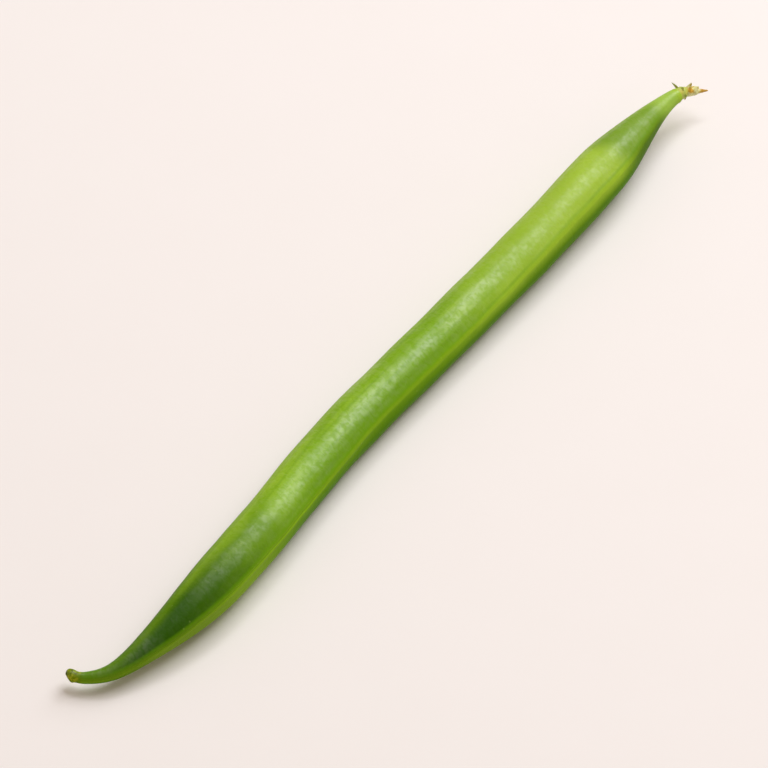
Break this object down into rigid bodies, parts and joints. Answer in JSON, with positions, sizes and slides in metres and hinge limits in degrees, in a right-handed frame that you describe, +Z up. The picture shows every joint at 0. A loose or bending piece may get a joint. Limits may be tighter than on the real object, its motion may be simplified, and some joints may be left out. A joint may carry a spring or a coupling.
{
  "type": "green bean",
  "caption": "Fresh green bean lying on its side: slim round pod with two raised seams, a curled tail and a capped, torn stem end.",
  "frame": {"origin": "under the middle of the bean, on the surface it lies on", "axes": "+X along the bean from the curled tail to the stem end, +Z up from the surface, +Y to the side that the tail curls to"},
  "size_m": [0.1504, 0.0156, 0.0088],
  "materials": {
    "pod_skin": "satin",
    "calyx_green": "matte",
    "dry_stalk": "matte"
  },
  "bodies": {
    "root": {"pod": "pod_skin", "calyx": "calyx_green", "stalk": "dry_stalk"}
  },
  "joints": []
}
